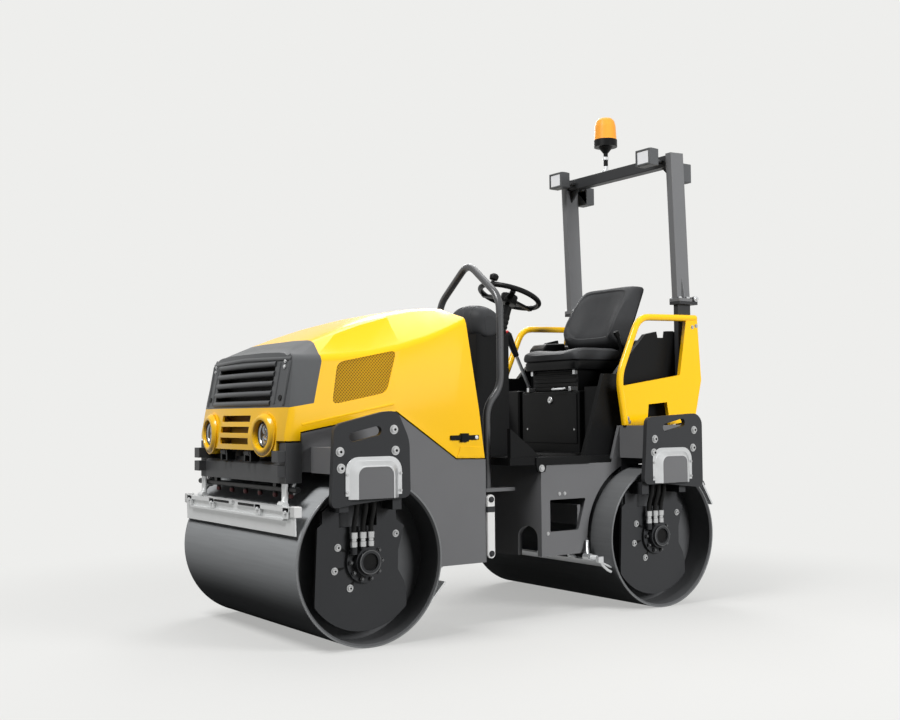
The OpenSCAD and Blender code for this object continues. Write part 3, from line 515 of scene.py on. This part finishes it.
bowls, rings, glass = bmesh.new(), bmesh.new(), bmesh.new()
for s in SIDES:
    at = P(s * LAMP_X, HOOD_NOSE + 24, LAMP_Z)
    turned(rings, [(58, 0), (58, 8), (54, 10), (51, 6), (50, 0.5)], at, FORWARD, 48, "ring")
    turned(bowls, [(51, 6.5), (49, 8), (46, 6), (44, 2.4)], at, FORWARD, 48, "ring")
    for side in SIDES:
        turned(bowls, [(20, 2), (19, 4), (12, 3), (5, 2.6), (4, 7), (0, 8)],
               at + Vector((0, 0, side * 0.0215)), FORWARD, 32)
    turned(glass, [(46, 0.4), (45, 2.0), (24, 2.4), (0, 2.5)], at, FORWARD, 48)
piece("headlight_bowls", bowls, "bowl", "hood")
piece("headlight_rings", rings, "black", "hood")
piece("headlight_glass", glass, "lens", "hood")
turned_pair("headlight_hoods", "yellow", "hood",
            [(60, -8), (60.5, 6), (64, 12), (70, 14), (78, 12), (86, 6), (93, -6)],
            (LAMP_X, HOOD_NOSE + 11, LAMP_Z), (0.1, -0.995, 0), 64, "ring")
turned_pair("latch_buttons", "white", "hood", [(9, 0), (9, 3), (7, 4.5), (0, 5)], (465, -213, 880), ACROSS)
# Dark discs on the cap's lower corners: painted shade of the lock holes
turned_pair("cap_lock_shades", "dark", "hood", [(12, -3), (12, 1), (0, 1)], (372, -1189, 1066), CAP_FACING)


def nose(x, z):
    """The place along the machine of the hood's front at a height and a distance from its middle."""
    return HOOD_NOSE + x * x / (2 * NOSE_BOW) + NOSE_LEAN * (z - LAMP_Z)


def spread(reach, steps):
    """Even places across the machine, from one side to the other."""
    return [reach * k / steps for k in range(-steps, steps + 1)]


CAP_HALF = 404
bm = bmesh.new()
for z in (1042, 1085, 1128, 1171, 1214):
    tube(bm, [(x, nose(x, z) + 3, z) for x in spread(300, 8)], 12.5, 16)
for s in SIDES:
    tube(bm, [(s * 330, nose(330, z) + 2, z) for z in (1040, 1085, 1130, 1175, 1218)], 7)
    tube(bm, [(s * CAP_HALF, nose(CAP_HALF, z) + 2, z) for z in (1034, 1080, 1130, 1180, 1226)], 9)
tube(bm, [(x, nose(x, 1240) + 4, 1240 - 8 * abs(x) / CAP_HALF) for x in spread(CAP_HALF, 10)], 11)
piece("grille_louvres", bm, "cap", "hood")
bm = bmesh.new()
for s in SIDES:
    for z in (1200, 1224):
        bolt(bm, P(s * 368, nose(368, z) - 1, z), (s * CAP_FACING[0], *CAP_FACING[1:]), 7, 5)
piece("cap_screws", bm, "screw", "hood")
bm = bmesh.new()
for s in SIDES:
    plate(bm, [(-318, 790), (-163, 785), (-170, 834), (-300, 838)], s * 452, s * 458.5)
    plate(bm, [(-1126, 944), (-662, 1032), (-662, 1041), (-1126, 953)], s * 452, s * 457.5)
piece("hood_beads", bm, "yellow", "hood", edge=2)

# Front scraper hardware with painted shade in its slots, spray nozzles darkened as painted shade, and the
# lock bar's pins
NOZZLE_PITCH = 150.8
bm = bmesh.new()
for s in SIDES:
    tube(bm, [(s * LINK_X, -1150, 702), (s * LINK_X, -1168, 668), (s * LINK_X, -1196, 636),
              (s * LINK_X, -1206, 606)], 11)
    turned(bm, [(19, -16), (19, 16)], P(s * LINK_X, -1168, 668), ACROSS)
    turned(bm, [(15, -26), (15, 26)], P(s * LINK_X, -1204, 610), ACROSS)
    for x in (250, 520):
        block(bm, (s * x - 26, BLADE_Y, 560), (s * x + 26, BLADE_Y + 10, 604))
        bolt(bm, P(s * x, BLADE_Y, 584), FORWARD, 8, 6)
    block(bm, (s * 20, BLADE_Y, 588), (s * 552, BLADE_Y + 11, 606))
    block(bm, (s * 2, BLADE_Y - 3, 550), (s * 500, BLADE_Y + 12, 558))
piece("scraper_links", bm, "blade", "front")
# Dark boxes in the scraper's top bar: painted shade of its slots
boxes("scraper_slot_shades", "dark", "front", [((52, BLADE_Y - 2, 592), (214, BLADE_Y + 6, 603))])
boxes("scraper_ends", "white", "front", [((552, BLADE_Y + 4, 566), (590, BLADE_Y + 40, 612))], edge=3)
# The nozzle caps take the darkened red: painted shade under the bumper
bm = bmesh.new()
for x in spread(3 * NOZZLE_PITCH, 3):
    turned(bm, [(0, 0), (10.5, 0), (10.5, -12), (7, -17), (0, -17)], P(x, -1176, 654), UPWARD, 16)
piece("nozzle_caps", bm, "red_in_shade", "front")
bm = bmesh.new()
for z in (330, 585):
    turned(bm, [(0, 0), (14, 0), (14, 5), (9, 7), (9, 9), (0, 9)], P(LOCK_X, LOCK_Y, z), ACROSS)
piece("lock_pins", bm, "grey", "front")
boxes("lock_band", "grey", "front", [((449.5, LOCK_Y - 22, 524), (LOCK_X + 1, LOCK_Y + 22, 552))], [1],
      edge=1.5)

# Platform trim: lock and screws, rear scraper, box lid, arches, tank cap and mat
bm = bmesh.new()
turned(bm, [(0, 0), (20, 0), (20, 8), (15, 12), (6, 12), (6, 9), (0, 9)], P(12, BOX_FACE, 1062), FORWARD, 28)
for x in (-190, 205):
    bolt(bm, P(x, BOX_FACE, 905), FORWARD, 6, 4)
for s in SIDES:
    bolt(bm, P(s * 462, 182, 722), (s, 0, 0), 13, 9)
    for y, z in ((724, 962), (733, 944), (1236, 1458), (1207, 1450)):
        bolt(bm, P(s * 500, y, z), (s, 0, 0), 8, 6)
    for y, z in ((302, 592), (336, 592), (226, 400)):
        bolt(bm, P(s * 450, y, z), (s, 0, 0), 7, 5)
    bolt(bm, P(s * 395, 60, 880), (-s, 0, 0), 7, 5)
piece("platform_screws", bm, "screw", "rear")
bm = bmesh.new()
for s in SIDES:
    tube(bm, [(s * 462, 470, 352), (s * 470, 462, 320), (s * 492, 446, 286), (s * 500, 440, 268)], 9)
    turned(bm, [(0, -22), (17, -22), (17, 22), (0, 22)], P(s * 496, 442, 276), ACROSS, 20)
    for k in range(5):
        turned(bm, [(10, -4), (14, 0), (10, 4)], P(s * (524 + 9 * k), 444, 276), ACROSS, 16)
    block(bm, (s * 572, 430, 256), (s * 590, 462, 284))
    tube(bm, [(s * 576, 446, 270), (s * 584, 462, 240), (s * 586, 492, 216), (s * 586, 514, 206)], 7)
    for x in (120, 360):
        bolt(bm, P(s * x, 437, 267), (0, -0.42, 0.9), 9, 6)
        for step in (0, 120):
            bolt(bm, P(s * (x + step), 1206, 586), (0, 0.85, 0.52), 9, 6)
piece("rear_scraper_links", bm, "zinc", "rear")
bm = bmesh.new()
plate(bm, [(1195, 603), (1202, 607.5), (1189, 628.5), (1182, 624)], -578, 578)
piece("rear_blade_bar", bm, "grey", "rear")
boxes("box_lid", "black", "rear", [((-226, BOX_FACE - 4, 830), (226, BOX_FACE + 1.5, 1098))], [1], edge=3)

ARCH = {"radius": DRUM_RADIUS + 4, "top": 772}
bm = bmesh.new()
arc = [(AXLE["rear"] + ARCH["radius"] * math.cos(a), AXLE_Z + ARCH["radius"] * math.sin(a))
       for a in (math.radians(66 + 3 * k) for k in range(17))]
for s in SIDES:
    plate(bm, arc + [(arc[-1][0], ARCH["top"]), (arc[0][0], ARCH["top"])], s * 444, s * 450.5)
piece("arch_lips", bm, "grey", "rear", smooth=False)
boxes("wall_returns", "black", "rear", [((400, 1140, 1112), (417.5, 1186, 1430))], edge=3)
bm = bmesh.new()
turned(bm, [(70, 0), (70, 10), (62, 14), (62, 34), (56, 40), (0, 41)], P(-230, 1055, 1390), UPWARD, 40)
block(bm, (-276, 1049, 1430), (-184, 1061, 1440))
piece("tank_cap", bm, "black", "rear", edge=2)
MAT = [((-372, 262, 774), (372, 606, 781))]
MAT += [((-356 + 49.5 * k, 274, 780), (-338 + 49.5 * k, 594, 785)) for k in range(15)]
boxes("floor_mat", "rubber", "rear", MAT, [1], edge=1)

# Travel lever, instruments and steering column
along = Vector((0, -math.sin(LEVER_TILT), math.cos(LEVER_TILT)))
bm = bmesh.new()
turned(bm, [(10.5, 16), (10.5, 216)], P(*LEVER_FOOT), along, 20)
piece("lever_shaft", bm, "zinc", "rear")
bm = bmesh.new()
turned(bm, [(13, 362), (13, 372), (8, 376), (0, 377)], P(*LEVER_FOOT), along, 20)
turned(bm, [(0, 0), (9, 0), (9, 9), (0, 9)], P(104, DASH_Y, DASH_Z), BACKWARD, 20)
piece("switch_caps", bm, "red", "rear")
bm = bmesh.new()
turned(bm, [(26, -3), (26, 4), (22, 6), (21, 3), (0, 3)], P(0, DASH_Y, DASH_Z), BACKWARD, 40)
for x in (-84, -50, 56):
    turned(bm, [(11, -1), (11, 4), (9, 5), (0, 5)], P(x, DASH_Y, DASH_Z), BACKWARD)
piece("dash_dials", bm, "rail", "rear")

column = Vector((0, math.sin(WHEEL_TILT), math.cos(WHEEL_TILT)))
bm = bmesh.new()
for k in range(7):
    d = -290 + 26 * k
    turned(bm, [(31, d), (39 - k, d + 8), (39 - k, d + 16), (31, d + 24)], P(*WHEEL), column, 32)
piece("column_boot", bm, "rubber", "rear")
bm = bmesh.new()
turned(bm, [(46, 0), (44, 6), (30, 12), (0, 13)], P(*WHEEL), column, 36)
turn = math.radians(105)
away = Vector((0, -math.cos(WHEEL_TILT), math.sin(WHEEL_TILT)))
knob = P(*WHEEL) + (away * math.sin(turn) - Vector(ACROSS) * math.cos(turn)) * WHEEL_RIM / 1000
turned(bm, [(9, 8), (9, 22), (21, 26), (24, 38), (24, 48), (17, 56), (0, 58)], knob, column)
piece("wheel_cap_and_knob", bm, "black", "steering_wheel")

# Dash, as a domed cowl with moulded creases across its front and top, on a plain pedestal
COWL = {"half": 142, "y": 104, "z": 1468.5, "deep": 84, "tall": 86.5, "steps": 60, "corners": 64}
CREASES = (-78, -26, 26, 78)


def dome(x, power):
    """How far the cowl's outline shrinks towards its ends."""
    return max(0.04, 1 - (abs(x) / COWL["half"]) ** power) ** (1 / power)


def cowl_ring(x):
    """The cowl's outline at a place across the machine: flat to the rear, domed to the front and top."""
    crease = 1 - 0.035 * sum(math.exp(-((x - c) / 4) ** 2) for c in CREASES)
    ring = []
    for k in range(COWL["corners"]):
        a = 2 * math.pi * k / COWL["corners"]
        y, z = (math.copysign(abs(w) ** 0.8, w) for w in (math.cos(a), math.sin(a)))
        y *= COWL["deep"] * (dome(x, 8) if y > 0 else dome(x, 2.4) * crease)
        z *= COWL["tall"] * (dome(x, 2.4) * crease if z > 0 else dome(x, 8))
        ring.append(P(x, COWL["y"] + y, COWL["z"] + z))
    return ring


bm = bmesh.new()
rings = [[bm.verts.new(q) for q in cowl_ring(x)] for x in spread(COWL["half"], COWL["steps"])]
for a, b in zip(rings, rings[1:]):
    bridge(bm, a, b)
bm.faces.new(rings[0])
bm.faces.new(rings[-1])
foot_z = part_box("dash_console")[0][2] * 1000
block(bm, (-120, 40, foot_z), (120, 248, 1400))
dash = piece("dash_cowl", bm, "vinyl", "rear")
dash.data.materials.append(M["black"])
for face in dash.data.polygons[-6:]:
    face.material_index = 1
    face.use_smooth = False
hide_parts("dash_console")

# Seat slides, adjuster and bellows
bm = bmesh.new()
for s in SIDES:
    block(bm, (s * 168, 610, 1112), (s * 186, 940, 1134))
    block(bm, (s * 168, 640, 1200), (s * 186, 930, 1222))
tube(bm, [(60, 600, 1124), (60, 590, 1120), (150, 588, 1120), (150, 600, 1124)], 7)
piece("seat_slides", bm, "zinc", "rear")
bm = bmesh.new()
tube(bm, [(248, 930, 1262), (258, 925, 1315), (262, 890, 1392), (264, 872, 1424)], 11)
turned(bm, [(0, -14), (16, -14), (16, 14), (0, 14)], P(263, 876, 1418), (0, -0.5, 0.85), 20)
piece("seat_adjuster", bm, "black", "rear")
FOLDS = [(4 * (k % 2), 1112 + 22 * k) for k in range(5)]
boxes("seat_bellows", "rubber", "rear",
      [((-182 + inset, 654 + inset, z), (182 - inset, 936 - inset, z + 18)) for inset, z in FOLDS], [1],
      edge=5)

# Roll bar trim: lamp faces and bezels, tail lamps, beacon stem, gussets and fold pins
LAMP = {"x": (POST_X - 113, POST_X - 27), "z": (2341, 2409), "front": BAR_Y - 171}
boxes("lamp_faces", "glow", "rops",
      [((LAMP["x"][0], BAR_Y - 167, LAMP["z"][0]), (LAMP["x"][1], BAR_Y - 164, LAMP["z"][1]))], edge=1)
BEZELS = [((314, LAMP["front"], z), (422, LAMP["front"] + 11, z + 10)) for z in (2331, 2409)]
BEZELS += [((x, LAMP["front"], LAMP["z"][0]), (x + 11, LAMP["front"] + 11, LAMP["z"][1])) for x in (314, 411)]
BEZELS += [((327 + 19 * k, BAR_Y - 148, 2418), (333 + 19 * k, BAR_Y - 108, 2425)) for k in range(5)]
boxes("lamp_bezels", "cap", "rops", BEZELS, edge=1.5)
TAIL = [((POST_X - 84, BAR_Y + 119, 2258), (POST_X + 4, BAR_Y + 122, 2349))]
TAIL += [((POST_X - 82, BAR_Y + 121, 2262 + 12.5 * k), (POST_X + 2, BAR_Y + 124, 2269 + 12.5 * k))
         for k in range(7)]
boxes("tail_lamp_faces", "red", "rops", TAIL, edge=1)
bm = bmesh.new()
for profile in ([(23, 0), (23, 11), (14, 14), (14, 34)], [(14, 70), (17, 72), (17, 88), (14, 90)]):
    turned(bm, profile, P(BEACON_X, BAR_Y, BEACON_Z), UPWARD)
for s in SIDES:
    for y in (-48, 8):
        for x in (POST_X + 30, POST_X - 30):
            bolt(bm, P(s * x, FOLD_Y + y, FOLD_Z + 16), UPWARD, 9, 8)
piece("bar_fittings", bm, "zinc", "rops")
GUSSET = [(456, 1606), (476, 1606), (475, 1620), (456, 1738)]
bm = bmesh.new()
for s in SIDES:
    prism(bm, *([(s * x, y, z) for x, z in GUSSET] for y in (1176, 1184)))
piece("post_gussets", bm, "post", "rops", edge=1)
turned_pair("fold_pin_heads", "zinc", "rear", [(0, 0), (15, 0), (15, 6), (9, 8), (9, 14), (0, 14)],
            (476, 1262, 1607), ACROSS)


# Seat, as crowned cushions
CORNERS = 96
PULL = 5


def cushion(name, rings, axes, at, half, shell, swell, node):
    """A stuffed form in a shell: rings are (inset, height, corner) from its back to its crown.

    The first few rings are its shell.
    """
    u, v, w = (Vector(a).normalized() for a in axes)
    bm = bmesh.new()
    made = []
    for inset, height, corner in rings:
        ring = []
        for k in range(CORNERS):
            a = 2 * math.pi * k / CORNERS
            c, d = math.cos(a), math.sin(a)
            pulled = inset + PULL * math.cos(2 * a) ** 2
            x = math.copysign(abs(c) ** (2 / corner), c) * (half[0] - pulled)
            y = math.copysign(abs(d) ** (2 / corner), d) * (half[1] - pulled)
            ring.append(bm.verts.new(at + (u * x + v * y + w * (height + swell(x, y, height))) / 1000))
        made.append(ring)
    for a, b in zip(made, made[1:]):
        bridge(bm, a, b)
    low = bm.verts.new(at + w * rings[0][1] / 1000)
    top = bm.verts.new(at + w * (rings[-1][1] + swell(0, 0, rings[-1][1])) / 1000)
    for k in range(CORNERS):
        bm.faces.new([low, made[0][(k + 1) % CORNERS], made[0][k]])
        bm.faces.new([top, made[-1][k], made[-1][(k + 1) % CORNERS]])
    obj = piece(name, bm, "vinyl", "rear")
    obj.data.materials.append(M["black"])
    for k in range(CORNERS * shell):
        obj.data.polygons[k].material_index = 1
    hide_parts(node)


def ease(t):
    """A smooth step from 0 to 1."""
    t = min(1, max(0, t))
    return t * t * (3 - 2 * t)


def seat_swell(x, y, height):
    """Side rolls, a dip where one sits and a front edge that falls away."""
    if height < 90:
        return 0
    rolls = 7 * ease((abs(x) - 120) / 80)
    dip = 6 * ease((150 - y) / 200) * ease((140 - abs(x)) / 80)
    return rolls - dip - 9 * ease((-y - 90) / 80)


def back_swell(x, y, height):
    """Side wings that stand forward below the shoulders, with a hollow between them."""
    forward = ease((height - 30) / 50)
    wing = ease((abs(x) - 110) / 100) * ease((175 - y) / 260)
    return forward * (46 * wing - 14 * ease((150 - abs(x)) / 110) * ease((190 - abs(y)) / 120))


SEAT_RINGS = [(26, 0, 8), (12, 3, 8), (8, 14, 8), (8, 42, 8), (13, 50, 8), (3, 55, 8), (0, 68, 8), (0, 84, 7),
              (4, 96, 7), (14, 105, 6), (28, 110, 6), (34, 106, 6), (40, 110, 6), (60, 113, 5), (84, 114, 5),
              (108, 114, 5), (132, 114, 4.5), (154, 114, 4)]
BACK_RINGS = [(10, 0, 12), (2, 4, 12), (0, 14, 12), (3, 30, 10), (8, 48, 8), (14, 62, 6), (24, 74, 5),
              (38, 80, 4.4), (46, 76, 4.2), (54, 79, 4), (74, 82, 3.7), (98, 83, 3.4), (122, 83, 3.2),
              (146, 83, 3), (168, 83, 3)]
cushion("seat_pad", SEAT_RINGS, [ACROSS, BACKWARD, UPWARD], P(0, 778, 1225), (239, 177), 4, seat_swell,
        "seat_cushion")
cushion("back_pad", BACK_RINGS, [ACROSS, (0, 160, 372), (0, -372, 160)], P(0, 1052, 1514), (238, 192), 2,
        back_swell, "seat_back")


# Floor, light and camera
PALE = (0.855, 0.855, 0.84)
FLOOR = (0.60, 0.60, 0.59)
BOUNCE = (0.03, 0.03, 0.03)
FADE = {"From Min": 1.2, "From Max": 3.6, "To Min": 0.47}


def seen(nt):
    """Is 1 for rays that show a surface: straight to the camera, mirrored or through glass."""
    path = nt.nodes.new("ShaderNodeLightPath")
    total = path.outputs["Is Camera Ray"]
    for kind in ("Is Glossy Ray", "Is Transmission Ray"):
        total = calculate(nt, "MAXIMUM", total, path.outputs[kind])
    return total


def floor_material():
    """A pale floor that keeps the shadow and fades into the background, at distances in metres."""
    m = bpy.data.materials.new("pale floor")
    m.use_nodes = True
    nt = m.node_tree
    shader = nt.nodes["Principled BSDF"]
    shader.inputs["Base Color"].default_value = [*FLOOR, 1]
    shader.inputs["Roughness"].default_value = 0.75
    glow = add(nt, "ShaderNodeEmission", Color=[*PALE, 1])
    place = nt.nodes.new("ShaderNodeTexCoord")
    far = nt.nodes.new("ShaderNodeVectorMath")
    far.operation = "LENGTH"
    nt.links.new(place.outputs["Object"], far.inputs[0])
    span = add(nt, "ShaderNodeMapRange", **FADE)
    span.interpolation_type = "SMOOTHSTEP"
    nt.links.new(far.outputs["Value"], span.inputs["Value"])
    shown = mixed(nt, span.outputs["Result"], shader.outputs[0], glow.outputs[0])
    dim = add(nt, "ShaderNodeBsdfDiffuse", Color=[*BOUNCE, 1])
    nt.links.new(mixed(nt, seen(nt), dim.outputs[0], shown), nt.nodes["Material Output"].inputs["Surface"])
    return m


bm = bmesh.new()
turned(bm, [(0, 0), (900, 0), (4000, 0), (60000, 0)], Vector((0, 0, 0)), UPWARD, 64, "")
mesh = bpy.data.meshes.new("floor")
bm.to_mesh(mesh)
bm.free()
floor = bpy.data.objects.new("floor", mesh)
bpy.context.scene.collection.objects.link(floor)
mesh.materials.append(floor_material())

world = bpy.data.worlds.new("studio")
bpy.context.scene.world = world
world.use_nodes = True
wt = world.node_tree
back = wt.nodes["Background"]
back.inputs["Color"].default_value = [*PALE, 1]
soft = add(wt, "ShaderNodeBackground", Color=[0.95, 0.97, 1.0, 1], Strength=0.055)
wt.links.new(mixed(wt, seen(wt), soft.outputs[0], back.outputs[0]),
             wt.nodes["World Output"].inputs["Surface"])


def area(name, at, to, size, watts):
    """A round soft light that points to a place, all in metres."""
    lamp = bpy.data.lights.new(name, "AREA")
    lamp.shape = "DISK"
    lamp.size = size
    lamp.energy = watts
    obj = bpy.data.objects.new(name, lamp)
    bpy.context.scene.collection.objects.link(obj)
    obj.location = at
    obj.rotation_euler = (Vector(to) - Vector(at)).to_track_quat("-Z", "Y").to_euler()
    return obj


# Most of the side's light leaves no highlight, so that the hood's flank keeps its colour
area("top light", (-1.6, 1.0, 5.8), (0, 0, 0.9), 4.0, 105)
area("key light", (0.8, -4.3, 6.1), (0, -0.4, 0.8), 2.8, 425)
area("side light", (5.9, 2.0, 2.6), (0, 0.2, 0.9), 2.6, 24)
side_fill = area("side fill", (5.9, 2.0, 2.6), (0, 0.2, 0.9), 2.6, 385)
side_fill.visible_glossy = False
area("rim light", (-4.5, 3.0, 4.5), (0, 0, 1.2), 3.0, 120)

cam_data = bpy.data.cameras.new("camera")
cam = bpy.data.objects.new("camera", cam_data)
bpy.context.scene.collection.objects.link(cam)
bpy.context.scene.camera = cam
eye = Vector((4.8799, -3.4357, 0.9792))
aim = Vector((0, -0.0584, 1.2685))
ahead = (aim - eye).normalized()
right = ahead.cross(Vector(UPWARD)).normalized()
up = right.cross(ahead)
roll = math.radians(-0.45)
right, up = right * math.cos(roll) + up * math.sin(roll), up * math.cos(roll) - right * math.sin(roll)
cam.matrix_world = Matrix([[right[i], up[i], -ahead[i], eye[i]] for i in range(3)] + [[0, 0, 0, 1]])
cam_data.sensor_width = 36
cam_data.lens = 46.27
cam_data.clip_end = 200
bpy.context.scene.view_settings.view_transform = "Standard"
